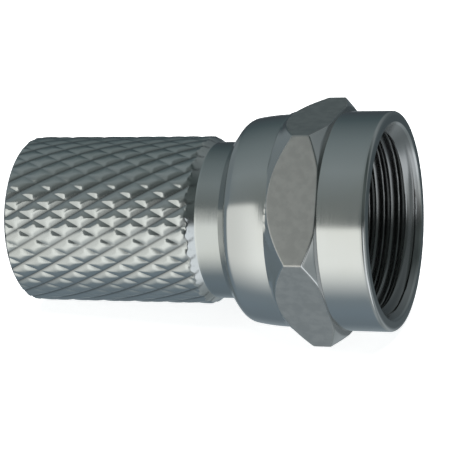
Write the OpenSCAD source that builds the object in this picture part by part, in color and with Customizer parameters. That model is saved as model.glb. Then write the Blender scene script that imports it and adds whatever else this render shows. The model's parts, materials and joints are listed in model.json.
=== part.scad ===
// Twist-on coaxial plug: a knurled body that screws onto the cable, and a
// hexagonal coupling nut that spins freely on the body's neck.
// The axis runs along +X, from the cable end to the open mouth of the nut.
// The origin is on the axis, in the contact face that meets the socket.
// Threads are plain at their minor diameter.

/* [Knurled body] */
// Length from the cable end to the contact face
body_length = 13.75; // [13.5:0.05:16]
// Diameter over the points of the knurl
grip_d = 8.55; // [8.4:0.05:9]
// Length of the knurled grip, from the cable end to the start of its bevel
grip_length = 10; // [8.5:0.1:10.2]
// Radius that rounds the cable end of the grip
grip_end_round = 0.6; // [0.4:0.05:0.8]
// Diamonds round the grip
knurl_starts = 28; // [20:1:36]
// Distance between the points of two diamonds along the axis
knurl_pitch = 1.78; // [1.4:0.01:2.2]
// Height of each diamond's point over the crossing of its grooves
knurl_depth = 0.16; // [0.1:0.01:0.22]
// Diameter of the smooth neck
neck_d = 7.95; // [7.6:0.05:7.95]
// Slope of the bevel between the grip and the neck, from the axis
bevel_angle = 36; // [28:1:45]
// Minor diameter of the thread that grips the cable
cable_thread_d = 6.6; // [6:0.1:6.8]
// Depth of the cable thread, without its drill point
cable_thread_depth = 10.3; // [8:0.1:10.6]
// Diameter of the bore that passes the cable's inner insulation
insulation_bore_d = 5; // [4.6:0.1:5.4]
// Diameter of the flange that the nut pulls on
flange_d = 9.1; // [8.8:0.05:9.15]
// Diameter of the contact face
face_d = 8; // [7:0.1:8.4]

/* [Coupling nut] */
// Length of the nut
nut_length = 7.85; // [7.7:0.05:10]
// Width across the flats
nut_across_flats = 11; // [11:0.1:12]
// Diameter of the collar in front of the hexagon
collar_d = 10.95; // [10.9:0.05:10.95]
// Diameter of the round shoulder behind the hexagon
shoulder_d = 10.7; // [10.6:0.05:10.8]
// Distance from the nut's rear face to the hexagon's full corners
hexagon_start = 4; // [3.9:0.05:4.3]
// Length of the full corners
corner_land = 0.85; // [0.5:0.05:1]
// Slope of the chamfer behind the hexagon, from the axis
rear_chamfer_angle = 38; // [36:1:45]
// Slope of the chamfer in front of the hexagon, from the axis
front_chamfer_angle = 50; // [40:1:55]
// Minor diameter of the coupling thread
coupling_thread_d = 8.7; // [8.6:0.05:8.75]
// Diameter of the chamfer at the mouth of the coupling thread
mouth_d = 9.85; // [9.6:0.05:10]
// Slope of the lip that is rolled in behind the flange, from the axis
lip_angle = 52; // [45:1:55]
// Radial running clearance between the neck and the lip
neck_clearance = 0.08; // [0.03:0.01:0.1]

/* [Hidden] */

eps = 0.01;

// Places along the axis
rear_x = -body_length;
bevel_x = rear_x + grip_length;
nut_rear_x = -2;
nut_front_x = nut_rear_x + nut_length;
drill_point_x = rear_x + cable_thread_depth;

// Radii
grip_r = grip_d / 2;
neck_r = neck_d / 2;
flange_r = flange_d / 2;
face_r = face_d / 2;
cable_r = cable_thread_d / 2;
insulation_r = insulation_bore_d / 2;
shoulder_r = shoulder_d / 2;
collar_r = collar_d / 2;
thread_r = coupling_thread_d / 2;
mouth_r = mouth_d / 2;
corner_r = nut_across_flats / 2 / cos(30);

// The blank is turned a little over the knurl's points, so that only the round end
// and the bevel cut them.
blank_over = 0.1;
blank_r = grip_r + blank_over;
bevel_end_x = bevel_x + (grip_r - neck_r) / tan(bevel_angle);
cable_mouth_chamfer = 0.25;
drill_half_angle = 59;

// The flange and the boss that carries the contact face
boss_height = 0.3;
flange_thickness = 0.8;
flange_slope = 49;
flange_front_x = -boss_height;
flange_rim_x = flange_front_x - flange_thickness;
flange_rear_x = flange_rim_x - (flange_r - neck_r) / tan(flange_slope);

// Inside of the nut
lip_hole_r = neck_r + neck_clearance;
seat_gap = 0.15;
seat_r = flange_r + seat_gap;
seat_start_x = flange_rear_x - seat_gap / sin(flange_slope);
seat_x = seat_start_x + (seat_r - neck_r) / tan(flange_slope);
seat_lip_x = seat_start_x + (lip_hole_r - neck_r) / tan(flange_slope);
seat_end_x = 0.1;
thread_start_x = seat_end_x + (seat_r - thread_r);
mouth_chamfer_angle = 40;
mouth_chamfer_x = nut_front_x - (mouth_r - thread_r) / tan(mouth_chamfer_angle);

// Outside of the nut: the rolled lip, its bend, and a long slow curve to the shoulder
lip_length = 0.52;
bend_radius = 0.66;
swell_angle = 10;
bend_x = nut_rear_x + lip_length;
swell_x = bend_x + bend_radius * (sin(lip_angle) - sin(swell_angle));
land_x = nut_rear_x + hexagon_start;
land_end_x = land_x + corner_land;
rear_chamfer_x = land_x - (corner_r - shoulder_r) / tan(rear_chamfer_angle);
swell_radius = (rear_chamfer_x - swell_x) / sin(swell_angle);
bend_end_r = shoulder_r - swell_radius * (1 - cos(swell_angle));
bend_start_r = bend_end_r - bend_radius * (cos(swell_angle) - cos(lip_angle));
lip_rear_r = bend_start_r - lip_length * tan(lip_angle);
collar_x = land_end_x + (corner_r - collar_r) / tan(front_chamfer_angle);
rim_round = 0.18;

// Points [radius, x] on an arc about [centre_r, centre_x]. The angle is measured
// from the radial direction towards +X.
function arc(centre_r, centre_x, radius, from, to, steps) =
    [for (i = [0:steps])
        let (a = from + (to - from) * i / steps)
        [centre_r + radius * cos(a), centre_x + radius * sin(a)]];

// Turns a closed outline of [radius, x] points about the X axis
module turned(outline) {
    rotate([0, 90, 0])
        rotate_extrude($fn = 96)
            polygon(outline);
}

// Knurl: a lattice of rings half a pitch apart, with two places to each diamond
// round the ring. Points and crossings of the grooves take turns both along the
// axis and round it, and each groove is the straight line between two crossings.
knurl_places = 2 * knurl_starts;
knurl_lead = 0.92;
knurl_first_x = rear_x - knurl_lead;
knurl_rings = ceil((bevel_end_x - knurl_first_x) / (knurl_pitch / 2));
knurl_phase = -0.7;

// The leads of the two rolling wheels differ a little, so the rows of diamonds creep
// round the grip by this angle for each millimetre along it.
knurl_creep = -0.29;
knurl_middle_x = rear_x + 5;

function is_point(ring, place) = (ring + place) % 2 == 1;

function lattice_radius(ring, place) = grip_r - (is_point(ring, place) ? 0 : knurl_depth);

function round_point(x, r, place) =
    let (a = knurl_phase + knurl_creep * (x - knurl_middle_x) + place * 360 / knurl_places)
    [x, r * cos(a), r * sin(a)];

// The two triangles between ring and ring + 1, from place to place + 1. The line
// that parts them joins the crossings of the grooves.
function cell(ring, place) =
    let (next = (place + 1) % knurl_places,
         a = ring * knurl_places + place,
         b = ring * knurl_places + next,
         c = a + knurl_places,
         d = b + knurl_places)
    is_point(ring, place) ? [[a, c, b], [b, c, d]] : [[a, c, d], [a, d, b]];

// Everything inside the knurled surface. In front of the grip it opens out, so
// that the neck and the flange are left alone.
module knurl_form() {
    last = knurl_rings;
    open_x = knurl_first_x + last * knurl_pitch / 2;
    points = concat(
        [for (ring = [0:last]) for (place = [0:knurl_places - 1])
            round_point(knurl_first_x + ring * knurl_pitch / 2, lattice_radius(ring, place), place)],
        [for (place = [0:knurl_places - 1]) round_point(open_x, corner_r, place)],
        [for (place = [0:knurl_places - 1]) round_point(1, corner_r, place)],
        [[knurl_first_x, 0, 0], [1, 0, 0]]);
    rear_centre = len(points) - 2;
    front_centre = len(points) - 1;
    front_ring = (last + 2) * knurl_places;
    faces = concat(
        [for (ring = [0:last + 1]) for (place = [0:knurl_places - 1]) each cell(ring, place)],
        [for (place = [0:knurl_places - 1])
            [rear_centre, place, (place + 1) % knurl_places]],
        [for (place = [0:knurl_places - 1])
            [front_centre, front_ring + (place + 1) % knurl_places, front_ring + place]]);
    polyhedron(points, faces, convexity = 4);
}

// The turned blank: round end, grip, bevel, neck, flange and contact face
module body_blank() {
    turned(concat(
        [[0, rear_x]],
        arc(blank_r - grip_end_round, rear_x + grip_end_round, grip_end_round, -90, 0, 8),
        [[blank_r, bevel_x - blank_over / tan(bevel_angle)],
         [neck_r, bevel_end_x],
         [neck_r, flange_rear_x],
         [flange_r, flange_rim_x],
         [flange_r, flange_front_x],
         [face_r, flange_front_x],
         [face_r, 0],
         [0, 0]]));
}

// Cable thread, its drill point and the insulation bore, with a chamfered mouth
module body_bores() {
    turned([
        [0, rear_x - 1],
        [cable_r + cable_mouth_chamfer + 1, rear_x - 1],
        [cable_r + cable_mouth_chamfer, rear_x],
        [cable_r, rear_x + cable_mouth_chamfer],
        [cable_r, drill_point_x],
        [insulation_r, drill_point_x + (cable_r - insulation_r) / tan(drill_half_angle)],
        [insulation_r, 1],
        [0, 1]]);
}

module knurled_body() {
    color("lightslategray")
        difference() {
            intersection() {
                body_blank();
                knurl_form();
            }
            body_bores();
        }
}

// The turned outside of the nut, before the bar's flats are taken into account
module nut_outside() {
    turned(concat(
        [[0, nut_rear_x], [lip_rear_r, nut_rear_x]],
        arc(bend_start_r - bend_radius * cos(lip_angle), bend_x + bend_radius * sin(lip_angle),
            bend_radius, -lip_angle, -swell_angle, 6),
        arc(shoulder_r - swell_radius, rear_chamfer_x, swell_radius, -swell_angle, 0, 4),
        [[corner_r + eps, land_x],
         [corner_r + eps, land_end_x],
         [collar_r, collar_x]],
        arc(collar_r - rim_round, nut_front_x - rim_round, rim_round, 0, 90, 4),
        [[0, nut_front_x]]));
}

// Lip hole, the seat that holds the flange, the coupling thread and its mouth
module nut_inside() {
    turned([
        [0, nut_rear_x - 1],
        [lip_hole_r, nut_rear_x - 1],
        [lip_hole_r, seat_lip_x],
        [seat_r, seat_x],
        [seat_r, seat_end_x],
        [thread_r, thread_start_x],
        [thread_r, mouth_chamfer_x],
        [mouth_r, nut_front_x],
        [mouth_r + 1, nut_front_x + 1],
        [0, nut_front_x + 1]]);
}

// Hexagonal bar with one flat facing down
module hexagon_bar() {
    translate([nut_rear_x - 1, 0, 0])
        rotate([0, 90, 0])
            rotate([0, 0, 30])
                cylinder(h = nut_length + 2, r = corner_r, $fn = 6);
}

module coupling_nut() {
    color("silver")
        difference() {
            intersection() {
                hexagon_bar();
                nut_outside();
            }
            nut_inside();
        }
}

knurled_body();
coupling_nut();
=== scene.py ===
"""Dress a twist-on coaxial plug: a knurled body, and the coupling nut that spins on its neck.

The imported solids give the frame: the X axis runs from the cable end to the open mouth of
the nut, and the origin lies on the axis in the contact face. Both pieces are rebuilt here as
closed skins of rings about that axis, with the knurl, both threads, the broken edges and the
plating that the plain solids leave out. Sizes are millimetres and become metres in the mesh.
"""

import json
import logging
import math
from collections.abc import Mapping, Sequence
from dataclasses import dataclass, field
from enum import Enum
from typing import Any

import bpy
import numpy as np
from mathutils import Matrix, Vector

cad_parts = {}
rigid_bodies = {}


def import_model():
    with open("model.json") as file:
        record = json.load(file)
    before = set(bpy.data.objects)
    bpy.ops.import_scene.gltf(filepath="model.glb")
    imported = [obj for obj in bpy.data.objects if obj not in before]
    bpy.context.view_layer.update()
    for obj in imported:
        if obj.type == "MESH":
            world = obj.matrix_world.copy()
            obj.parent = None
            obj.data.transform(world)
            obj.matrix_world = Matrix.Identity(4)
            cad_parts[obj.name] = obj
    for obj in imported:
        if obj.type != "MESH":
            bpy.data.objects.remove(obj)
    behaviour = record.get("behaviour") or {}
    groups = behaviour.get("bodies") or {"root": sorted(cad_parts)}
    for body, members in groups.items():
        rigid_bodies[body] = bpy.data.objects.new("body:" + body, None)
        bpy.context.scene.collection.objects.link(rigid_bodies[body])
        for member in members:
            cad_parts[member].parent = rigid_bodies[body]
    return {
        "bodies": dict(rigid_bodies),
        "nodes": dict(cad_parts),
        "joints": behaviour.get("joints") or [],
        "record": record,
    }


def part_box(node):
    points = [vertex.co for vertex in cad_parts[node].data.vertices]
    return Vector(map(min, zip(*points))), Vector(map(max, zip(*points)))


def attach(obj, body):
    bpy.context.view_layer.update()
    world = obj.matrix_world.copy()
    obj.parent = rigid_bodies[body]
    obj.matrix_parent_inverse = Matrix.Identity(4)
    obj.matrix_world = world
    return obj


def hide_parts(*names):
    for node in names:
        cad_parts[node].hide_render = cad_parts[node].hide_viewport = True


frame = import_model()

LOG = logging.getLogger("coaxial_plug")
MM = 0.001
TINY = 1e-6

Colour = tuple[float, float, float]
Point = tuple[float, float]
Span = tuple[float, float]
Bands = tuple[tuple[float, Colour], ...]


class Slot(Enum):
    """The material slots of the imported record."""

    BODY = "body_plating"
    NUT = "nut_plating"

    def colour(self, held: Mapping[str, Any]) -> Colour:
        """Read the slot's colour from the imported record."""
        found = next(m for m in held["record"]["materials"] if m["slot"] == self.value)
        return tuple(found["base_color"])


@dataclass(frozen=True)
class Bore:
    """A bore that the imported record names: its radius, and its two ends along the axis."""

    radius: float
    rear_x: float
    front_x: float

    @classmethod
    def from_record(cls, held: Mapping[str, Any], name: str) -> "Bore":
        """Look a bore up among the record's mounts.

        Args:
            held: The frame, with its record.
            name: The mount's name.

        Returns:
            The bore, in millimetres.
        """
        mount = next(m for m in held["record"]["mounts"] if m["name"] == name)
        middle, half = mount["pos_m"][0] / MM, mount["dims"]["length_mm"] / 2
        return cls(mount["dims"]["r_mm"], middle - half, middle + half)


# ---------------------------------------------------------------------------
# Curves and grids
# ---------------------------------------------------------------------------


def rise(angle: float) -> float:
    """Give how far a line rises per millimetre along the axis, at an angle in degrees to it."""
    return math.tan(math.radians(angle))


def soft_min(a: np.ndarray, b: np.ndarray, blend: float) -> np.ndarray:
    """Take the smaller of two heights, with the crease between them rounded.

    The formula is min(a, b) - h * h * blend / 4, where h falls from 1 on the crease to 0
    where the two heights differ by blend.

    Args:
        a: First heights.
        b: Second heights, of a shape that goes with the first.
        blend: Difference in height over which the crease is rounded.

    Returns:
        The blended heights.
    """
    share = np.clip(blend - np.abs(a - b), 0.0, None) / blend
    return np.minimum(a, b) - share * share * blend / 4


def soft_max(a: np.ndarray, b: np.ndarray, blend: float) -> np.ndarray:
    """Take the larger of two heights, with the crease rounded as soft_min does."""
    return -soft_min(-a, -b, blend)


def smooth_step(value: np.ndarray, low: float, high: float) -> np.ndarray:
    """Rise from 0 at low to 1 at high along the cubic 3t^2 - 2t^3."""
    t = np.clip((value - low) / (high - low), 0.0, 1.0)
    return t * t * (3 - 2 * t)


def between(start: np.ndarray | float, end: np.ndarray | float, shares: Sequence[float]) -> np.ndarray:
    """Place one ring at each share of the way from start to end, which may vary by column."""
    return start + (end - start) * np.array(shares)[:, None]


def arc(centre: Point, radius: float, start: float, end: float, steps: int) -> np.ndarray:
    """Trace an arc in the plane of a turned outline.

    A point lies at (x, r) = centre + radius * (sin a, cos a), so the angle a is measured from
    the radial direction towards +X.

    Args:
        centre: The (x, r) of the arc's centre.
        radius: Its radius.
        start: First angle in degrees.
        end: Last angle in degrees.
        steps: Number of equal steps between them.

    Returns:
        Points (x, r), one row each.
    """
    a = np.radians(np.linspace(start, end, steps + 1))
    return np.stack([centre[0] + radius * np.sin(a), centre[1] + radius * np.cos(a)], axis=1)


def broken_edges(corners: Sequence[tuple[float, float, float]], steps: int = 4) -> np.ndarray:
    """Round the corners of a turned outline, as a maker breaks sharp edges.

    Each corner P is replaced by the parabola (1-t)^2 A + 2t(1-t) P + t^2 B, where A and B lie
    on the two legs at the corner's setback. One more point lies on each leg at twice that
    distance, so that the shading of the legs stays true.

    Args:
        corners: The (x, r, setback) of each corner; a setback of 0 keeps the corner sharp.
        steps: Number of steps along each parabola.

    Returns:
        Points (x, r), one row each, without repeats.
    """
    table = np.array(corners, float)
    points, setback = table[:, :2], table[:, 2:]
    before = np.roll(points, 1, axis=0) - points
    after = np.roll(points, -1, axis=0) - points
    before[0], after[-1] = -after[0], -before[-1]
    before /= np.linalg.norm(before, axis=1, keepdims=True)
    after /= np.linalg.norm(after, axis=1, keepdims=True)
    t = np.linspace(0, 1, steps + 1)[None, :, None]
    start, end = (points + before * setback)[:, None], (points + after * setback)[:, None]
    middle = points[:, None]
    curve = (1 - t) ** 2 * start + 2 * t * (1 - t) * middle + t**2 * end
    legs = np.concatenate([middle + before[:, None] * setback[:, None] * 2, curve,
                           middle + after[:, None] * setback[:, None] * 2], axis=1)
    line = legs.reshape(-1, 2)
    step = np.linalg.norm(np.diff(line, axis=0), axis=1)
    return line[np.concatenate([[True], step > TINY])]


def placed(name: str, data: bpy.types.ID) -> bpy.types.Object:
    """Make an object and put it in the scene.

    Args:
        name: The object's name.
        data: The mesh, the lamp or the camera that it holds.

    Returns:
        The object, at the origin.
    """
    made = bpy.data.objects.new(name, data)
    bpy.context.scene.collection.objects.link(made)
    return made


@dataclass
class RingSkin:
    """A closed skin of rings about the X axis.

    Ring i runs through the points (x[i, j], radius[i, j]) over the angles, and the last ring
    joins the first one. The skin is then a torus, an outside and a bore with no open edge.
    Rings go up the outside towards +X and come back through the bore. Column j lies at
    angles[j] + lean * x, so that the columns can follow rows that creep round the axis.
    """

    name: str
    angles: np.ndarray
    lean: float = 0.0
    x: list[np.ndarray] = field(default_factory=list)
    radius: list[np.ndarray] = field(default_factory=list)
    crossed: list[np.ndarray] = field(default_factory=list)
    masks: dict[str, list[np.ndarray]] = field(default_factory=dict)

    def spread(self, value: np.ndarray | float, rings: int) -> np.ndarray:
        """Give each vertex its value, from one for each vertex, one for each ring or one for all."""
        grid = value if np.ndim(value) == 2 else np.reshape(value, (-1, 1))
        return np.broadcast_to(grid, (rings, len(self.angles)))

    def add(self, x: np.ndarray, radius: np.ndarray, crossed: np.ndarray | bool = False,
            **masks: np.ndarray | float) -> None:
        """Append rings to the skin.

        Args:
            x: Places along the axis, one for each ring or one for each vertex.
            radius: Radii, in the same way.
            crossed: True where a cell is parted along its other diagonal.
            **masks: Values from 0 to 1 that the finishes read, by name.
        """
        rings = len(x)
        self.x.append(self.spread(x, rings))
        self.radius.append(self.spread(radius, rings))
        self.crossed.append(self.spread(crossed, rings))
        for name in sorted(set(self.masks) | set(masks)):
            held = self.masks.setdefault(name, [np.zeros_like(v) for v in self.x[:-1]])
            held.append(self.spread(masks.get(name, 0.0), rings))

    def turn(self, outline: np.ndarray, **masks: np.ndarray | float) -> None:
        """Append the rings of a turned outline, whose rows are (x, r)."""
        self.add(outline[:, 0], outline[:, 1], **masks)

    def around(self, x: np.ndarray) -> np.ndarray:
        """Give the angle of every vertex of the rings at x, rings by columns."""
        return self.angles[None, :] + self.lean * np.reshape(x, (len(x), -1))

    def points(self) -> np.ndarray:
        """Place every vertex at (x, r * cos angle, r * sin angle), ring by ring.

        Returns:
            Points in metres, one row each.
        """
        x, radius = np.concatenate(self.x), np.concatenate(self.radius)
        angle = self.around(x)
        grid = np.stack([x, radius * np.cos(angle), radius * np.sin(angle)], axis=-1)
        return grid.reshape(-1, 3) * MM

    def triangles(self) -> np.ndarray:
        """Part each cell of the grid into two triangles that face outwards.

        Returns:
            Vertex numbers, three to a row.
        """
        crossed = np.concatenate(self.crossed)[..., None]
        here = np.arange(crossed.size).reshape(crossed.shape[:2])
        right = np.roll(here, -1, axis=1)
        ahead = np.roll(here, -1, axis=0)
        both = np.roll(right, -1, axis=0)
        first = np.where(crossed, np.stack([here, right, ahead], -1), np.stack([here, right, both], -1))
        second = np.where(crossed, np.stack([right, both, ahead], -1), np.stack([here, both, ahead], -1))
        return np.stack([first, second], axis=2).reshape(-1, 3)

    def build(self, crease: float) -> bpy.types.Object:
        """Make the mesh object of the skin, smooth but for its creases.

        Args:
            crease: Angle in degrees past which an edge is shaded sharp.

        Returns:
            The object, at the origin, with its place in its mesh.
        """
        points, faces = self.points(), self.triangles()
        mesh = bpy.data.meshes.new(self.name)
        mesh.vertices.add(len(points))
        mesh.vertices.foreach_set("co", points.astype(np.float32).ravel())
        mesh.loops.add(faces.size)
        mesh.loops.foreach_set("vertex_index", faces.astype(np.int32).ravel())
        mesh.polygons.add(len(faces))
        mesh.polygons.foreach_set("loop_start", np.arange(0, faces.size, 3, dtype=np.int32))
        mesh.update(calc_edges=True)
        mesh.polygons.foreach_set("use_smooth", np.ones(len(faces), bool))
        mesh.set_sharp_from_angle(angle=math.radians(crease))
        for name, rows in self.masks.items():
            mask = mesh.attributes.new(name, "FLOAT", "POINT")
            mask.data.foreach_set("value", np.concatenate(rows).astype(np.float32).ravel())
        mesh.validate()
        return placed(self.name, mesh)


# ---------------------------------------------------------------------------
# Shader nodes
# ---------------------------------------------------------------------------


@dataclass(frozen=True)
class Signal:
    """A value that runs between shader nodes. Arithmetic on it adds Math nodes."""

    nodes: "NodeBook"
    socket: bpy.types.NodeSocket

    def _math(self, operation: str, *values: "Signal | float") -> "Signal":
        """Add one Math node with these inputs."""
        return self.nodes.add("ShaderNodeMath", {"operation": operation}, dict(enumerate(values)))

    def __add__(self, other: "Signal | float") -> "Signal":
        """Add."""
        return self._math("ADD", self, other)

    def __radd__(self, other: float) -> "Signal":
        """Add, with the number first."""
        return self._math("ADD", other, self)

    def __sub__(self, other: "Signal | float") -> "Signal":
        """Subtract."""
        return self._math("SUBTRACT", self, other)

    def __rsub__(self, other: float) -> "Signal":
        """Subtract from a number."""
        return self._math("SUBTRACT", other, self)

    def __mul__(self, other: "Signal | float") -> "Signal":
        """Multiply."""
        return self._math("MULTIPLY", self, other)

    def __rmul__(self, other: float) -> "Signal":
        """Multiply, with the number first."""
        return self._math("MULTIPLY", other, self)

    def __truediv__(self, other: "Signal | float") -> "Signal":
        """Divide."""
        return self._math("DIVIDE", self, other)

    def __rtruediv__(self, other: float) -> "Signal":
        """Divide a number."""
        return self._math("DIVIDE", other, self)

    def __pow__(self, other: "Signal | float") -> "Signal":
        """Raise to a power."""
        return self._math("POWER", self, other)

    def __rpow__(self, other: float) -> "Signal":
        """Raise a number to this power."""
        return self._math("POWER", other, self)

    def angle_over(self, other: "Signal | float") -> "Signal":
        """Give the angle in degrees whose tangent is this value over another."""
        return self._math("ARCTAN2", self, other) * math.degrees(1.0)

    def step(self, low: float, high: float) -> "Signal":
        """Rise smoothly from 0 at low to 1 at high."""
        inputs = {"Value": self, "From Min": low, "From Max": high}
        return self.nodes.add("ShaderNodeMapRange", {"interpolation_type": "SMOOTHSTEP"}, inputs)


@dataclass(frozen=True)
class NodeBook:
    """The nodes of one material or world, all made by one method."""

    tree: bpy.types.NodeTree

    @classmethod
    def opened(cls, owner: bpy.types.Material | bpy.types.World) -> "NodeBook":
        """Clear the nodes of a material or a world, so that new ones can be written.

        Args:
            owner: The material or the world.

        Returns:
            The book of its nodes, empty.
        """
        owner.use_nodes = True
        owner.node_tree.nodes.clear()
        return cls(owner.node_tree)

    def add(self, kind: str, settings: Mapping[str, Any] | None = None,
            inputs: Mapping[str | int, Any] | None = None, output: str | int = 0) -> Signal:
        """Add a node.

        Args:
            kind: The node's type.
            settings: Its own settings, set first; stops are the (place, colour) of a ramp.
            inputs: Values or signals for its sockets, by name or number.
            output: The socket to return, by name or number.

        Returns:
            The signal of that output, or of the node's first input where it has no output.
        """
        node = self.tree.nodes.new(kind)
        for name, value in (settings or {}).items():
            if name == "stops":
                ramp = node.color_ramp.elements
                while len(ramp) < len(value):
                    ramp.new(1.0)
                for stop, (place, colour) in zip(ramp, value):
                    stop.position, stop.color = place, (*colour, 1.0)
            else:
                setattr(node, name, value)
        for name, value in (inputs or {}).items():
            if isinstance(value, Signal):
                self.tree.links.new(value.socket, node.inputs[name])
            else:
                node.inputs[name].default_value = value
        return Signal(self, node.outputs[output] if len(node.outputs) else node.inputs[0])

    def blend(self, share: Signal | float, first: Signal | Colour, second: Signal | Colour) -> Signal:
        """Mix two colours.

        Args:
            share: 0 for the first colour, 1 for the second.
            first: First colour.
            second: Second colour.

        Returns:
            The mixed colour.
        """
        a, b = (v if isinstance(v, Signal) else (*v, 1.0) for v in (first, second))
        return self.add("ShaderNodeMix", {"data_type": "RGBA"}, {0: share, 6: a, 7: b}, output=2)

    def noise(self, where: Signal, scale: float, detail: float) -> Signal:
        """Add a noise pattern.

        Args:
            where: The coordinates that it reads.
            scale: Number of features in a unit of them.
            detail: Number of finer layers.

        Returns:
            Values about 0.5.
        """
        inputs = {"Vector": where, "Scale": scale, "Detail": detail}
        return self.add("ShaderNodeTexNoise", {"noise_dimensions": "3D"}, inputs)

    def parts(self, vector: Signal) -> tuple[Signal, Signal, Signal]:
        """Part a vector into its x, y and z."""
        split = self.add("ShaderNodeSeparateXYZ", inputs={0: vector}).socket.node
        return tuple(Signal(self, part) for part in split.outputs)

    def mask(self, name: str) -> Signal:
        """Read a mask of the skin by name."""
        return self.add("ShaderNodeAttribute", {"attribute_name": name}, output="Fac")


# ---------------------------------------------------------------------------
# Finishes
# ---------------------------------------------------------------------------


def scaled(colour: Colour, gain: Colour) -> Colour:
    """Multiply a colour by a gain, part by part."""
    return tuple(c * g for c, g in zip(colour, gain))


@dataclass(frozen=True)
class Plating:
    """Nickel over turned brass: fine rings from the tool, a satin haze and faint stains.

    The drawn mask marks faces that keep the dull skin of the drawn bar. The groove mask
    marks painted shade: where it is set, the colour is darkened and the roughness raised, in
    the knurl's pits, the threads, the mouth, the foot of the nut's wall and the neck. Scales
    count the features in a metre, and a span is where a pattern rises from none to full.
    """

    name: str
    colour: Colour
    roughness: float = 0.14
    haze: float = 0.05
    ring_pitch: float = 0.055
    ring_depth: float = 0.0006
    ring_detail: float = 1.0
    cloud_scale: float = 260.0
    cloud_detail: float = 3.0
    stain_gain: Colour = (0.93, 0.92, 0.88)
    stain_span: Span = (0.42, 0.75)
    stain_strength: float = 0.6
    grain_scale: float = 2400.0
    grain_detail: float = 2.0
    grain_depth: float = 0.0012
    turned_grain: float = 0.3
    drawn_roughness: float = 0.42
    drawn_spread: float = 0.12
    drawn_gain: Colour = (1.12, 1.08, 1.05)
    drawn_grey: Colour = (0.9, 0.9, 0.9)
    drawn_span: Span = (0.34, 0.66)
    groove_roughness: float = 0.13
    # Painted shade: the colour's gain where the groove mask is full
    painted_shade_gain: Colour = (0.44, 0.44, 0.44)

    def build(self) -> bpy.types.Material:
        """Make the material.

        Returns:
            A material that reads Object coordinates and the masks of its skin.
        """
        made = bpy.data.materials.new(self.name)
        book = NodeBook.opened(made)
        place = book.add("ShaderNodeTexCoord", output="Object")
        x, y, z = book.parts(place)
        reach = (y * y + z * z) ** 0.5
        turned = book.add("ShaderNodeCombineXYZ", inputs={0: x, 1: reach, 2: 0.0})
        rings = book.noise(turned, 1 / (self.ring_pitch * MM), self.ring_detail)
        cloud = book.noise(place, self.cloud_scale, self.cloud_detail)
        grain = book.noise(place, self.grain_scale, self.grain_detail)
        drawn, groove = book.mask("drawn"), book.mask("groove")

        satin = self.roughness + (cloud - 0.5) * self.haze + (rings - 0.5) * self.haze
        dull = self.drawn_roughness + (grain - 0.5) * self.drawn_spread
        roughness = satin + (dull - satin) * drawn + groove * self.groove_roughness

        stained = cloud.step(*self.stain_span) * self.stain_strength
        base = book.blend(stained, self.colour, scaled(self.colour, self.stain_gain))
        # Painted shade: the colour darkens where the groove mask is set
        base = book.blend(groove, base, scaled(self.colour, self.painted_shade_gain))
        pale = scaled(self.colour, self.drawn_gain)
        bar = book.blend(grain.step(*self.drawn_span), scaled(pale, self.drawn_grey), pale)
        base = book.blend(drawn, base, bar)

        relief = rings * (self.ring_depth * MM) * (1 - drawn)
        relief = relief + grain * (self.grain_depth * MM) * (self.turned_grain + drawn)
        bump = book.add("ShaderNodeBump", inputs={"Strength": 1.0, "Distance": 1.0, "Height": relief})
        metal = book.add("ShaderNodeBsdfPrincipled", inputs={
            "Base Color": base, "Metallic": 1.0, "Roughness": roughness, "Normal": bump})
        book.add("ShaderNodeOutputMaterial", inputs={"Surface": metal})
        return made


@dataclass(frozen=True)
class Paper:
    """Pale matt paper that glows a little, so that the floor stays near white."""

    name: str = "pale_paper"
    colour: Colour = (0.9, 0.9, 0.9)
    roughness: float = 0.9
    glow: float = 0.8

    def build(self) -> bpy.types.Material:
        """Make the material.

        Returns:
            A material without a pattern.
        """
        made = bpy.data.materials.new(self.name)
        book = NodeBook.opened(made)
        paper = book.add("ShaderNodeBsdfPrincipled", inputs={
            "Base Color": (*self.colour, 1.0), "Roughness": self.roughness,
            "Emission Color": (1.0, 1.0, 1.0, 1.0), "Emission Strength": self.glow})
        book.add("ShaderNodeOutputMaterial", inputs={"Surface": paper})
        return made


# ---------------------------------------------------------------------------
# The two pieces
# ---------------------------------------------------------------------------


@dataclass(frozen=True)
class VeeThread:
    """A thread in a bore: grooves with sloping flanks, a flat crest and a narrow root.

    The crest and the root are where the flanks end, from 0 in the groove's middle to 1 halfway
    to the next groove. The thread fades in over its run_out, from the bore's blind end.
    """

    minor_r: float
    depth: float
    pitch: float
    crest: float
    root: float
    rings_per_turn: float
    run_out: Span

    def rings(self, start: float, end: float) -> np.ndarray:
        """Space the rings evenly from one place to another, so many to a turn of the thread."""
        return np.linspace(start, end, int(abs(end - start) / self.pitch * self.rings_per_turn))

    def depth_at(self, x: np.ndarray, angles: np.ndarray, blind_x: float) -> np.ndarray:
        """Give the share of the groove's depth.

        The groove's middle follows x / pitch - angle / turn = whole number, a right-hand helix.
        The share falls along a smooth step from 1 at the root's edge to 0 at the crest's edge,
        times a smooth step of the distance from the blind end.

        Args:
            x: Places along the axis, one for each ring.
            angles: Angles about the axis, rings by columns.
            blind_x: Place of the bore's blind end.

        Returns:
            Shares from 0 to 1, rings by columns.
        """
        turns = x[:, None] / self.pitch - angles / (2 * math.pi)
        away = 2 * np.abs(turns - np.round(turns))
        fade = smooth_step(np.abs(x - blind_x), *self.run_out)[:, None]
        return fade * smooth_step(-away, -self.crest, -self.root)


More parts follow.
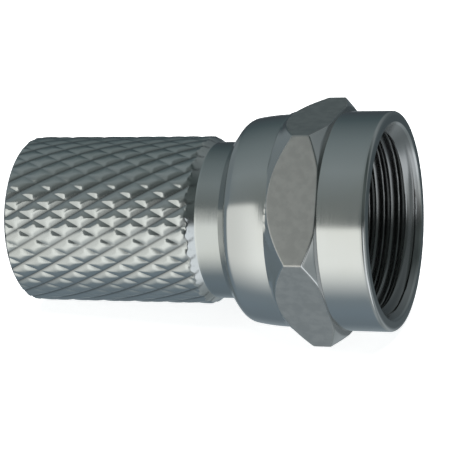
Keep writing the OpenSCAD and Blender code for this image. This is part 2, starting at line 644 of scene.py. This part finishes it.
@dataclass(frozen=True)
class KnurledBody:
    """The body: a barrel with a diamond knurl, a neck, and the flange that the nut pulls on."""

    rear_x: float
    cable_thread: VeeThread
    cable_thread_end_x: float
    insulation_r: float

    # The outside and the bores
    grip_r: float = 4.275
    grip_length: float = 10.0
    end_round: float = 0.6
    over: float = 0.1
    neck_r: float = 3.975
    bevel_angle: float = 36.0
    flange_r: float = 4.55
    flange_thickness: float = 0.8
    flange_slope: float = 49.0
    boss_height: float = 0.3
    face_r: float = 4.0
    drill_half_angle: float = 59.0
    mouth_chamfer: float = 0.25

    # The knurl. Its point height, crease round and shallow are shares of its depth.
    starts: int = 28
    knurl_pitch: float = 1.78
    knurl_depth: float = 0.15
    knurl_lead: float = 0.92
    knurl_phase: float = -0.7
    knurl_creep: float = -0.29
    knurl_middle: float = 5.0
    point_height: float = 0.68
    crease_round: float = 0.2
    shallow: float = 0.2
    run_out: float = 0.05

    # Edges: how far a broken one is set back, how wide a crease is rounded, and the angle
    # past which an edge is shaded sharp
    edge_break: float = 0.05
    neck_fillet: float = 0.08
    boss_fillet: float = 0.04
    bore_break: float = 0.1
    mouth_round: float = 0.02
    sharp_angle: float = 24.0

    # Where rings and columns lie: shares of a stretch, counts, and leads past a corner
    cell_shares: tuple[float, ...] = (0.0, 0.08, 0.28, 0.5, 0.72, 0.92)
    end_shares: tuple[float, ...] = (0.0, 0.006, 0.024, 0.054, 0.095, 0.15)
    bevel_rings: int = 14
    bevel_lead: float = 0.04
    ring_gap: float = 0.02
    neck_lead: float = 0.12
    thread_lead: float = 0.1
    mouth_lead: float = 0.02
    face_lead: float = 0.03

    # The groove mask, which paints shade into the colour: deep in the knurl's pits, light on the neck
    painted_shade_height: float = 0.35
    painted_shade_rise: float = 0.05
    neck_painted_shade: float = 0.22

    @classmethod
    def from_frame(cls, held: Mapping[str, Any]) -> "KnurledBody":
        """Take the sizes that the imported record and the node's box give.

        Args:
            held: The frame.

        Returns:
            The body, with the sizes of its bores and the place of its cable end.
        """
        cable = Bore.from_record(held, "cable_thread")
        return cls(
            rear_x=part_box("knurled_body")[0].x / MM,
            cable_thread=VeeThread(cable.radius, depth=0.25, pitch=1.0, crest=0.8, root=0.1,
                                   rings_per_turn=8.1, run_out=(0.1, 1.2)),
            cable_thread_end_x=cable.front_x,
            insulation_r=Bore.from_record(held, "insulation_bore").radius,
        )

    @property
    def bevel_x(self) -> float:
        """Place where the bevel meets the points of the knurl."""
        return self.rear_x + self.grip_length

    @property
    def bevel_end_x(self) -> float:
        """Place where the bevel meets the neck."""
        return self.bevel_x + (self.grip_r - self.neck_r) / rise(self.bevel_angle)

    @property
    def end_face_r(self) -> float:
        """Radius of the flat face at the cable end, where its round edge starts."""
        return self.grip_r + self.over - self.end_round

    def cells(self, count: int) -> np.ndarray:
        """Part this many steps of the knurl's lattice, counted from 0, each by the same shares."""
        return (np.arange(count)[:, None] + np.array(self.cell_shares)[None, :]).ravel()

    def columns(self) -> np.ndarray:
        """Angle of each column in radians, in the plane of the contact face."""
        start = self.knurl_phase - self.knurl_creep * (self.rear_x + self.knurl_middle)
        return math.radians(start) + self.cells(2 * self.starts) * math.pi / self.starts

    def lattice(self, x: np.ndarray) -> tuple[np.ndarray, np.ndarray]:
        """Give the ring and the place of each point, in steps of the knurl's lattice.

        The columns lean with the lattice, so the places are the same on every ring.

        Args:
            x: Places along the axis, one for each ring of the grid.

        Returns:
            Ring numbers and place numbers, both rings by columns.
        """
        ring = (x - self.rear_x + self.knurl_lead) / (self.knurl_pitch / 2)
        return np.broadcast_arrays(ring[:, None], self.cells(2 * self.starts)[None, :])

    def knurl(self, ring: np.ndarray, place: np.ndarray) -> np.ndarray:
        """Give the height of the knurl, as a share of its depth.

        The grooves are the lines where ring + place or ring - place is an even number. The
        height is the smaller distance to the two nearest grooves, with rounded creases, and
        the points are blunted. One wheel bites less deep, so its grooves stop short of the
        bottom that the other's reach.

        Args:
            ring: Ring numbers in steps of the lattice.
            place: Place numbers, in the same way.

        Returns:
            Heights from 0 in the deeper grooves to point_height, rings by columns.
        """
        near = [np.abs(v - 2 * np.round(v / 2)) for v in (ring - place, ring + place)]
        ridged = soft_min(near[0] + self.shallow, near[1], self.crease_round)
        return soft_min(ridged, np.float64(self.point_height), self.crease_round)

    def grip_rings(self) -> np.ndarray:
        """Place the rings of the grip: its round end, the knurl's lattice and the bevel.

        A ring of the lattice is left out where it would crowd one of the others.

        Returns:
            Places along the axis, in order.
        """
        step = self.knurl_pitch / 2
        count = math.ceil((self.bevel_end_x - self.rear_x + self.knurl_lead) / step)
        lattice = self.rear_x - self.knurl_lead + step * self.cells(count)
        ends = self.rear_x + self.end_round * np.array(self.end_shares)
        bevel = np.linspace(self.bevel_x - self.bevel_lead, self.bevel_end_x, self.bevel_rings)
        inner = lattice[(lattice > ends[-1] + self.ring_gap) & (lattice < bevel[-1] - self.ring_gap)]
        clear = np.abs(inner[:, None] - bevel[None, :]).min(axis=1) > self.ring_gap
        return np.concatenate([ends, np.sort(np.concatenate([inner[clear], bevel]))])

    def grip(self, skin: RingSkin) -> None:
        """Append the grip: the smaller of the knurled radius and the turned blank's radius.

        The blank is a quarter circle at the cable end, a cylinder a little over the points,
        and a cone down to the neck. The line where it cuts the knurl is rounded. A cell is
        parted along its other diagonal where that follows the groove across it.

        Args:
            skin: The skin to append to.
        """
        x = self.grip_rings()
        into = np.clip(self.end_round - (x - self.rear_x), 0.0, None)
        blank = self.end_face_r + np.sqrt(self.end_round**2 - into**2)
        bevel = self.neck_r + (self.bevel_end_x - x) * rise(self.bevel_angle)
        ring, place = self.lattice(x)
        height = self.knurl(ring, place)
        cut = self.grip_r - self.knurl_depth * (self.point_height - height)
        radius = soft_min(cut, np.minimum(blank, bevel)[:, None], self.run_out)
        radius[-1] = self.neck_r
        crossed = (np.floor(ring + TINY) + np.floor(place + TINY)) % 2 == 1
        # Painted shade in the knurl's pits: the deeper, the darker
        deep = np.clip(1 - height / self.painted_shade_height, 0, 1)
        deep = deep * np.clip((radius - self.neck_r) / self.painted_shade_rise, 0, 1)
        skin.add(x, radius, crossed, groove=deep * deep)

    def nose(self, skin: RingSkin) -> None:
        """Append the neck, the flange, the boss with the contact face, and the small bore.

        They are straight lines between corners, whose edges are broken.

        Args:
            skin: The skin to append to.
        """
        rim = -self.boss_height - self.flange_thickness
        rear = rim - (self.flange_r - self.neck_r) / rise(self.flange_slope)
        taper = (self.cable_thread.minor_r - self.insulation_r) / rise(self.drill_half_angle)
        # A little painted shade on the neck, the flange, the contact face and the small bore, through
        # the groove mask
        skin.turn(broken_edges([
            (self.bevel_end_x + self.neck_lead, self.neck_r, 0.0),
            (rear, self.neck_r, self.neck_fillet),
            (rim, self.flange_r, self.edge_break),
            (-self.boss_height, self.flange_r, self.edge_break),
            (-self.boss_height, self.face_r, self.boss_fillet),
            (0.0, self.face_r, self.edge_break),
            (0.0, self.insulation_r, self.edge_break),
            (self.cable_thread_end_x + taper, self.insulation_r, self.bore_break),
            (self.cable_thread_end_x, self.cable_thread.minor_r, 0.0),
        ]), groove=self.neck_painted_shade)

    def cable_bore(self, skin: RingSkin) -> None:
        """Append the cable thread, back to the cable end, and the chamfer at its mouth.

        The radius is the larger of the thread's and the chamfer's, a cone of 45 degrees.

        Args:
            skin: The skin to append to.
        """
        thread, front, rear = self.cable_thread, self.cable_thread_end_x, self.rear_x
        x = thread.rings(front - self.thread_lead, rear + self.mouth_lead)
        share = thread.depth_at(x, skin.around(x), front)
        mouth = thread.minor_r + self.mouth_chamfer
        cone = mouth - (x - rear)
        radius = soft_max(thread.minor_r + thread.depth * share, cone[:, None], self.mouth_round)
        # Painted shade in the cable thread's grooves, through the groove mask
        skin.add(x, radius, groove=share)
        skin.turn(np.array([(rear, mouth + self.face_lead), (rear, (mouth + self.end_face_r) / 2)]))

    def build(self, finish: Plating) -> bpy.types.Object:
        """Build the body's skin and hang it on its CAD body.

        Args:
            finish: The plating.

        Returns:
            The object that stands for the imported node.
        """
        skin = RingSkin("knurled_barrel", self.columns(), lean=math.radians(self.knurl_creep))
        self.grip(skin)
        self.nose(skin)
        self.cable_bore(skin)
        made = skin.build(self.sharp_angle)
        made.data.materials.append(finish.build())
        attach(made, "body")
        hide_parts("knurled_body")
        return made


@dataclass(frozen=True)
class CouplingNut:
    """The nut: a rolled lip, a round shoulder, the hexagon, a collar and the coupling thread."""

    front_x: float
    rear_x: float
    apothem: float
    thread: VeeThread
    thread_start_x: float
    mouth_chamfer_x: float

    # The outside
    hexagon_start: float = 4.0
    corner_land: float = 0.85
    collar_r: float = 5.475
    shoulder_r: float = 5.35
    rear_chamfer_angle: float = 38.0
    front_chamfer_angle: float = 50.0
    wall_height: float = 0.25
    wall_angle: float = 75.0
    lip_angle: float = 52.0
    lip_length: float = 0.52
    bend_radius: float = 0.66
    swell_angle: float = 10.0
    rim_round: float = 0.18
    corner_round: float = 0.12

    # The inside
    mouth_r: float = 4.925
    lip_hole_r: float = 4.055
    seat_r: float = 4.7
    seat_x: float = -1.168
    seat_lip_x: float = -1.729

    # Edges: how far a broken one is set back, how wide a crease is rounded, and the angle
    # past which an edge is shaded sharp
    edge_break: float = 0.05
    fine_break: float = 0.04
    mouth_break: float = 0.03
    mouth_round: float = 0.03
    sharp_angle: float = 28.0

    # Where rings and columns lie: shares of a stretch, counts, and leads past a corner
    corner_columns: tuple[float, ...] = (0.0, 0.2, 0.4, 0.6, 1.2)
    flat_columns_from: float = 2.5
    flat_columns: int = 20
    bend_steps: int = 10
    rim_steps: int = 6
    rise_shares: tuple[float, ...] = (0.2, 0.6)
    edge_steps: tuple[float, ...] = (-1.8, -1.0, -0.5, 0.0, 0.5, 1.0, 1.8)
    flat_shares: tuple[float, ...] = (0.25, 0.5, 0.75)
    fall_shares: tuple[float, ...] = (0.12, 0.3, 0.6, 0.85, 1.0)
    wall_shares: tuple[float, ...] = (0.2, 0.75, 1.0)
    wall_top: float = 0.4
    collar_leads: tuple[float, float] = (0.03, 0.1)
    lip_hole_lead: float = 0.15
    rim_lead: float = 0.06
    mouth_lead: float = 0.09
    thread_lead: float = 0.12
    seat_lead: float = 0.03
    lip_hole_end: float = 0.06

    # The drawn mask, and the groove mask that paints shade into the colour
    drawn_span: Span = (-0.005, 0.02)
    wall_span: Span = (-0.02, 0.02)
    wall_painted_shade: float = 0.6
    mouth_painted_shade: float = 0.3
    thread_span: Span = (-0.03, 0.03)
    chamfer_painted_shade: float = 0.7

    @classmethod
    def from_frame(cls, held: Mapping[str, Any]) -> "CouplingNut":
        """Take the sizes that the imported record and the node's box give.

        Args:
            held: The frame.

        Returns:
            The nut, with its length, its width across the flats and the size of its thread.
        """
        coupling = Bore.from_record(held, "coupling_thread")
        low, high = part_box("coupling_nut")
        return cls(
            front_x=high.x / MM,
            rear_x=low.x / MM,
            apothem=-low.z / MM,
            thread=VeeThread(coupling.radius, depth=0.36, pitch=25.4 / 32, crest=0.95, root=0.0,
                             rings_per_turn=24.4, run_out=(0.0, 1.0)),
            thread_start_x=coupling.rear_x,
            mouth_chamfer_x=coupling.front_x,
        )

    @property
    def corner_r(self) -> float:
        """Radius of the hexagon's sharp corners."""
        return self.apothem / math.cos(math.pi / 6)

    @property
    def land_x(self) -> float:
        """Place where the full corners start."""
        return self.rear_x + self.hexagon_start

    @property
    def shoulder_x(self) -> float:
        """Place where the rear chamfer leaves the shoulder."""
        return self.land_x - (self.corner_r - self.shoulder_r) / rise(self.rear_chamfer_angle)

    @property
    def mouth_slope(self) -> float:
        """Rise of the mouth's chamfer for each millimetre along the axis."""
        return (self.mouth_r - self.thread.minor_r) / (self.front_x - self.mouth_chamfer_x)

    def columns(self) -> np.ndarray:
        """Space the columns: close together at each corner of the hexagon, then wider.

        Returns:
            Angles in radians, with a corner at 0.
        """
        wide = np.linspace(self.flat_columns_from, 30.0, self.flat_columns)
        half = np.concatenate([self.corner_columns, wide])
        sector = np.concatenate([half, 60.0 - half[-2:0:-1]])
        corners = 60.0 * np.arange(6)
        return np.radians(corners[:, None] + sector[None, :]).ravel()

    def flats(self, angles: np.ndarray) -> np.ndarray:
        """Give the radius of the hexagonal bar at each angle.

        Away from the corners it is apothem / cos(angle from the flat's middle). At a corner
        it follows an arc whose centre lies on the corner's line, touching both flats.

        Args:
            angles: Angles about the axis, with a corner at 0.

        Returns:
            Radii, one for each column.
        """
        sixth = math.pi / 3
        off = np.mod(angles + sixth / 2, sixth) - sixth / 2
        straight = self.apothem / np.cos(sixth / 2 - np.abs(off))
        centre = (self.apothem - self.corner_round) / math.cos(sixth / 2)
        within = np.clip(self.corner_round**2 - (centre * np.sin(off)) ** 2, 0.0, None)
        rounded = centre * np.cos(off) + np.sqrt(within)
        touch = math.atan2(self.corner_round / 2, centre + self.corner_round * math.cos(sixth / 2))
        return np.where(np.abs(off) < touch, rounded, straight)

    def shoulder(self, skin: RingSkin) -> None:
        """Append the rolled lip, its bend, and the long slow curve up to the shoulder.

        The lip is a straight cone. The bend is an arc from the lip's angle to the swell's, and
        the slow curve is a wide arc from there to level.

        Args:
            skin: The skin to append to.
        """
        lip, swell = math.radians(self.lip_angle), math.radians(self.swell_angle)
        bend_x = self.rear_x + self.lip_length
        swell_x = bend_x + self.bend_radius * (math.sin(lip) - math.sin(swell))
        swell_radius = (self.shoulder_x - swell_x) / math.sin(swell)
        bend_end_r = self.shoulder_r - swell_radius * (1 - math.cos(swell))
        bend_start_r = bend_end_r - self.bend_radius * (math.cos(swell) - math.cos(lip))
        lip_r = bend_start_r - self.lip_length * math.tan(lip)
        start = broken_edges([
            (self.rear_x + self.lip_hole_lead, self.lip_hole_r, 0.0),
            (self.rear_x, self.lip_hole_r, self.fine_break),
            (self.rear_x, lip_r, self.edge_break),
            (bend_x, bend_start_r, 0.0),
        ])
        centre = (bend_x + self.bend_radius * math.sin(lip),
                  bend_start_r - self.bend_radius * math.cos(lip))
        bend = arc(centre, self.bend_radius, -self.lip_angle, -self.swell_angle, self.bend_steps)
        slow = arc((self.shoulder_x, self.shoulder_r - swell_radius), swell_radius,
                   -self.swell_angle, 0.0, self.bend_steps)
        skin.turn(np.concatenate([start, bend[1:], slow[1:]]))

    def hexagon(self, skin: RingSkin) -> None:
        """Append the hexagon between its two turned chamfers, and the low wall to the collar.

        The radius is the smallest of the bar's, the two chamfer cones' and the wall's, and
        never below the collar's. At each angle the rings are spaced from the places where the
        bar meets the others, so that the curved edges of the flats lie on rings. The bar's
        dull skin shows where the bar is the smallest, up to the wall.

        Args:
            skin: The skin to append to.
        """
        bar = self.flats(skin.angles)[None, :]
        back, front, steep = (rise(angle) for angle in (
            self.rear_chamfer_angle, self.front_chamfer_angle, self.wall_angle))
        land_end, wall_r = self.land_x + self.corner_land, self.collar_r + self.wall_height
        wall_x = land_end + (self.corner_r - wall_r) / front
        foot = wall_x + self.wall_height / steep
        rear_edge = self.land_x - (self.corner_r - bar) / back
        front_edge = np.where(bar > wall_r, land_end + (self.corner_r - bar) / front,
                              wall_x + (wall_r - bar) / steep)
        top = np.maximum(wall_x, front_edge + (foot - front_edge) * self.wall_top)
        edge = self.edge_break * np.array(self.edge_steps)[:, None]
        to_middle = edge[:len(edge) // 2 + 1]
        x = np.concatenate([
            between(self.shoulder_x, rear_edge - 2 * self.edge_break, self.rise_shares),
            rear_edge + edge,
            between(rear_edge, front_edge, self.flat_shares),
            front_edge + to_middle,
            between(front_edge, top, self.fall_shares),
            between(top, foot, self.wall_shares),
        ])
        cone = np.minimum(self.corner_r - (self.land_x - x) * back,
                          self.corner_r - (x - land_end) * front)
        cone = np.minimum(cone, wall_r - (x - wall_x) * steep)
        radius = np.maximum(soft_min(cone, bar, self.edge_break), self.collar_r)
        drawn = smooth_step(cone - bar, *self.drawn_span)
        shaded = smooth_step(x - wall_x, *self.wall_span)
        # Painted shade at the foot of the wall by the collar, through the groove mask
        skin.add(x, radius, drawn=drawn * (1 - shaded), groove=self.wall_painted_shade * shaded)
        self.collar(skin, foot)

    def collar(self, skin: RingSkin, foot: float) -> None:
        """Append the collar, a plain cylinder, and its rounded rim, a quarter circle.

        Args:
            skin: The skin to append to.
            foot: Place of the wall's foot, where the collar starts.
        """
        rim = self.rim_round
        skin.turn(broken_edges([
            *((foot + lead, self.collar_r, 0.0) for lead in self.collar_leads),
            (self.front_x - 2 * rim, self.collar_r, 0.0),
        ]))
        skin.turn(arc((self.front_x - rim, self.collar_r - rim), rim, 0.0, 90.0, self.rim_steps))

    def mouth(self, skin: RingSkin) -> None:
        """Append the front face and the coupling thread, in to the seat.

        The radius is the larger of the thread's and the cone of the mouth's chamfer. Shade is
        painted into the colour: in full on the thread, a little less on the chamfer, and a little
        on the front face.

        Args:
            skin: The skin to append to.
        """
        thread = self.thread
        # A little painted shade on the front face, through the groove mask
        skin.turn(broken_edges([
            (self.front_x, self.collar_r - self.rim_round - self.rim_lead, 0.0),
            (self.front_x, self.mouth_r, self.mouth_break),
            (self.front_x - self.mouth_lead, self.mouth_r - self.mouth_lead * self.mouth_slope, 0.0),
        ]), groove=self.mouth_painted_shade)
        x = thread.rings(self.front_x - self.thread_lead, self.thread_start_x)
        share = thread.depth_at(x, skin.around(x), self.thread_start_x)
        cone = (thread.minor_r + (x - self.mouth_chamfer_x) * self.mouth_slope)[:, None]
        threaded = thread.minor_r + thread.depth * share
        # Painted shade: full on the thread, less on the mouth's chamfer
        within = smooth_step(threaded - cone, *self.thread_span)
        shade = self.chamfer_painted_shade + (1 - self.chamfer_painted_shade) * within
        skin.add(x, soft_max(threaded, cone, self.mouth_round), groove=shade)

    def seat(self, skin: RingSkin) -> None:
        """Append the seat that holds the body's flange, and the lip's hole.

        They are straight lines between corners, two of them with broken edges. The first rises
        at 45 degrees from the thread.

        Args:
            skin: The skin to append to.
        """
        height = self.seat_r - self.thread.minor_r
        skin.turn(broken_edges([
            (self.thread_start_x - self.seat_lead, self.thread.minor_r + self.seat_lead, 0.0),
            (self.thread_start_x - height, self.seat_r, self.fine_break),
            (self.seat_x, self.seat_r, self.edge_break),
            (self.seat_lip_x, self.lip_hole_r, 0.0),
            (self.seat_lip_x - self.lip_hole_end, self.lip_hole_r, 0.0),
        ]))

    def build(self, finish: Plating) -> bpy.types.Object:
        """Build the nut's skin and hang it on its CAD body.

        Args:
            finish: The plating.

        Returns:
            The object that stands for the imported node.
        """
        skin = RingSkin("hexagon_nut", self.columns())
        self.shoulder(skin)
        self.hexagon(skin)
        self.mouth(skin)
        self.seat(skin)
        made = skin.build(self.sharp_angle)
        made.data.materials.append(finish.build())
        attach(made, "nut")
        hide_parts("coupling_nut")
        return made


# ---------------------------------------------------------------------------
# The studio
# ---------------------------------------------------------------------------


@dataclass(frozen=True)
class Surroundings:
    """What the plating reflects, by direction.

    A direction is told by its slope along the plug's axis, from -1 to 1, and by its turn
    about the axis in degrees: 0 lies straight ahead of the plug, 90 overhead. Dull bands run
    round the axis, one set for the far left, one for the middle and one for the right. A
    broad soft window lies in front of the plug, mostly to the left, and a tall soft lamp
    stands on the right, from straight below the plug up to its own level. A span is where
    one of them rises from none to full, or falls from full to none, in slope or in turn.
    """

    left_bands: Bands = (
        (-180.0, (0.20, 0.235, 0.25)),
        (-152.0, (0.14, 0.16, 0.17)),
        (-118.0, (0.14, 0.17, 0.18)),
        (-90.0, (0.20, 0.25, 0.29)),
        (110.0, (0.20, 0.235, 0.25)),
        (180.0, (0.20, 0.235, 0.25)),
    )
    middle_bands: Bands = (
        (-180.0, (0.10, 0.11, 0.12)),
        (-152.0, (0.30, 0.35, 0.38)),
        (-118.0, (0.17, 0.21, 0.24)),
        (-90.0, (0.20, 0.25, 0.29)),
        (-40.0, (0.26, 0.30, 0.32)),
        (20.0, (0.16, 0.18, 0.18)),
        (38.0, (0.21, 0.235, 0.235)),
        (72.0, (0.27, 0.31, 0.32)),
        (110.0, (0.19, 0.23, 0.24)),
        (150.0, (0.08, 0.11, 0.12)),
        (180.0, (0.05, 0.06, 0.07)),
    )
    right_bands: Bands = (
        (-180.0, (0.09, 0.11, 0.12)),
        (-160.0, (0.08, 0.10, 0.11)),
        (-136.0, (0.36, 0.40, 0.42)),
        (-112.0, (0.22, 0.25, 0.26)),
        (-94.0, (0.34, 0.38, 0.40)),
        (-66.0, (0.30, 0.33, 0.34)),
        (-38.0, (0.62, 0.65, 0.66)),
        (-12.0, (0.20, 0.21, 0.21)),
        (20.0, (0.06, 0.07, 0.07)),
        (50.0, (0.11, 0.13, 0.13)),
        (84.0, (0.06, 0.075, 0.075)),
        (125.0, (0.24, 0.27, 0.28)),
        (180.0, (0.09, 0.11, 0.12)),
    )
    left_span: Span = (-0.72, -0.58)
    right_span: Span = (-0.24, 0.0)

    window: Colour = (1.0, 1.02, 0.99)
    window_top: float = 38.0
    window_slant: float = 25.0
    window_slant_span: Span = (-0.42, -0.3)
    window_top_span: Span = (-3.0, 4.0)
    window_foot_span: Span = (-74.0, -22.0)
    window_left_span: Span = (-0.94, -0.8)
    window_right_span: Span = (-0.23, -0.03)
    window_level: float = 0.84
    window_gain: float = 0.28
    window_gain_span: Span = (-0.62, -0.34)

    lamp: Colour = (0.95, 1.0, 1.05)
    lamp_foot_span: Span = (-96.0, -84.0)
    lamp_top_span: Span = (4.0, 16.0)
    lamp_left_span: Span = (0.38, 0.5)
    lamp_right_span: Span = (0.78, 0.85)

    def around(self, book: NodeBook, turn: Signal, bands: Bands) -> Signal:
        """Give the colour of the bands at a turn about the axis."""
        stops = [((place + 180.0) / 360.0, colour) for place, colour in bands]
        return book.add("ShaderNodeValToRGB", {"stops": stops}, {0: turn / 360.0 + 0.5})

    def build(self, book: NodeBook, direction: Signal) -> Signal:
        """Give the colour that comes from a direction.

        Args:
            book: The world's nodes.
            direction: The unit direction.

        Returns:
            The colour.
        """
        slope, y, z = book.parts(direction)
        turn = z.angle_over(0.0 - y)
        left, middle, right = (self.around(book, turn, bands) for bands in (
            self.left_bands, self.middle_bands, self.right_bands))
        colour = book.blend(slope.step(*self.right_span), middle, right)
        colour = book.blend(slope.step(*self.left_span), left, colour)

        lamp = turn.step(*self.lamp_foot_span) * (1 - turn.step(*self.lamp_top_span))
        lamp = lamp * slope.step(*self.lamp_left_span) * (1 - slope.step(*self.lamp_right_span))
        colour = book.blend(lamp, colour, self.lamp)

        top = self.window_top - self.window_slant * slope.step(*self.window_slant_span)
        share = (top - turn).step(*self.window_top_span) * turn.step(*self.window_foot_span)
        end = slope.step(*self.window_right_span)
        share = share * slope.step(*self.window_left_span) * (1 - end)
        bright = slope.step(*self.window_gain_span) * self.window_gain + self.window_level
        window = book.add("ShaderNodeVectorMath", {"operation": "SCALE"}, {0: self.window, 3: bright})
        return book.blend(share, colour, window)


@dataclass(frozen=True)
class Studio:
    """The pale floor, the soft surroundings and one lamp overhead. Sizes are millimetres."""

    floor_tilt: float = 5.0
    floor_point: tuple[float, float, float] = (1.2, 0.0, -5.5)
    floor_size: float = 3000.0
    backdrop: Colour = (1.0, 1.0, 1.0)
    lamp_size: float = 500.0
    lamp_height: float = 400.0
    lamp_power: float = 2.0
    mirrored: Surroundings = Surroundings()

    def floor(self, finish: Paper) -> None:
        """Lay the floor against the collar and the barrel's end, which the plug lies on.

        It is a square about the floor's point, tilted along the axis.

        Args:
            finish: What it is made of.
        """
        tilt = math.radians(self.floor_tilt)
        along = Vector((math.cos(tilt), 0.0, -math.sin(tilt)))
        across = Vector((0.0, 1.0, 0.0))
        middle, half = Vector(self.floor_point), self.floor_size / 2
        corners = [(middle + along * a * half + across * b * half) * MM
                   for a, b in ((-1, -1), (1, -1), (1, 1), (-1, 1))]
        mesh = bpy.data.meshes.new("floor")
        mesh.from_pydata([tuple(c) for c in corners], [], [(0, 1, 2, 3)])
        mesh.materials.append(finish.build())
        made = placed("floor", mesh)
        made.visible_glossy = False

    def surroundings(self) -> None:
        """Make the world, which the plating mirrors and the camera sees as a plain backdrop."""
        world = bpy.data.worlds.new("studio")
        bpy.context.scene.world = world
        book = NodeBook.opened(world)
        colour = self.mirrored.build(book, book.add("ShaderNodeTexCoord", output="Generated"))
        seen = book.add("ShaderNodeLightPath", output="Is Camera Ray")
        final = book.blend(seen, colour, self.backdrop)
        back = book.add("ShaderNodeBackground", inputs={"Color": final, "Strength": 1.0})
        book.add("ShaderNodeOutputWorld", inputs={"Surface": back})

    def lamp(self) -> None:
        """Hang a broad soft lamp overhead, for the floor."""
        light = bpy.data.lights.new("overhead", "AREA")
        light.shape, light.size, light.energy = "DISK", self.lamp_size * MM, self.lamp_power
        made = placed("overhead", light)
        made.location = (0.0, 0.0, self.lamp_height * MM)
        made.visible_glossy = False

    def build(self) -> None:
        """Set up the floor, the surroundings, the lamp and the plain view transform."""
        self.floor(Paper())
        self.surroundings()
        self.lamp()
        bpy.context.scene.view_settings.view_transform = "Standard"


@dataclass(frozen=True)
class Viewpoint:
    """The camera: where it looks, from what angle and how far away.

    Distances are millimetres and angles degrees. An azimuth of 0 looks along +Y.
    """

    target: tuple[float, float, float] = (-3.179, -0.091, -0.248)
    azimuth: float = 21.53
    elevation: float = 18.92
    roll: float = -6.71
    distance: float = 106.05
    lens: float = 166.47
    sensor: float = 36.0
    nearest: float = 5.0
    farthest: float = 10000.0

    def build(self) -> None:
        """Make the camera and hand it to the scene.

        It stands at target + distance * (sin azimuth * cos elevation, -cos azimuth * cos
        elevation, sin elevation), looks at the target, and is rolled about its line of sight.
        """
        a, e = math.radians(self.azimuth), math.radians(self.elevation)
        back = Vector((math.sin(a) * math.cos(e), -math.cos(a) * math.cos(e), math.sin(e)))
        data = bpy.data.cameras.new("camera")
        data.lens, data.sensor_width = self.lens, self.sensor
        data.clip_start, data.clip_end = self.nearest * MM, self.farthest * MM
        roll = Matrix.Rotation(math.radians(self.roll), 3, "Z")
        turn = back.to_track_quat("Z", "Y").to_matrix() @ roll
        place = (Vector(self.target) + back * self.distance) * MM
        camera = placed("camera", data)
        camera.matrix_world = Matrix.Translation(place) @ turn.to_4x4()
        bpy.context.scene.camera = camera


def main() -> None:
    """Build the pieces, the studio and the camera, and report each one."""
    logging.basicConfig(level=logging.INFO, format="%(name)s: %(message)s")
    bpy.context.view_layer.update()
    body = KnurledBody.from_frame(frame).build(Plating("body_nickel", Slot.BODY.colour(frame)))
    nut = CouplingNut.from_frame(frame).build(Plating("nut_nickel", Slot.NUT.colour(frame)))
    for made in (body, nut):
        LOG.info("%s has %d triangles", made.name, len(made.data.polygons))
    Studio().build()
    Viewpoint().build()


if __name__ == "__main__":
    main()
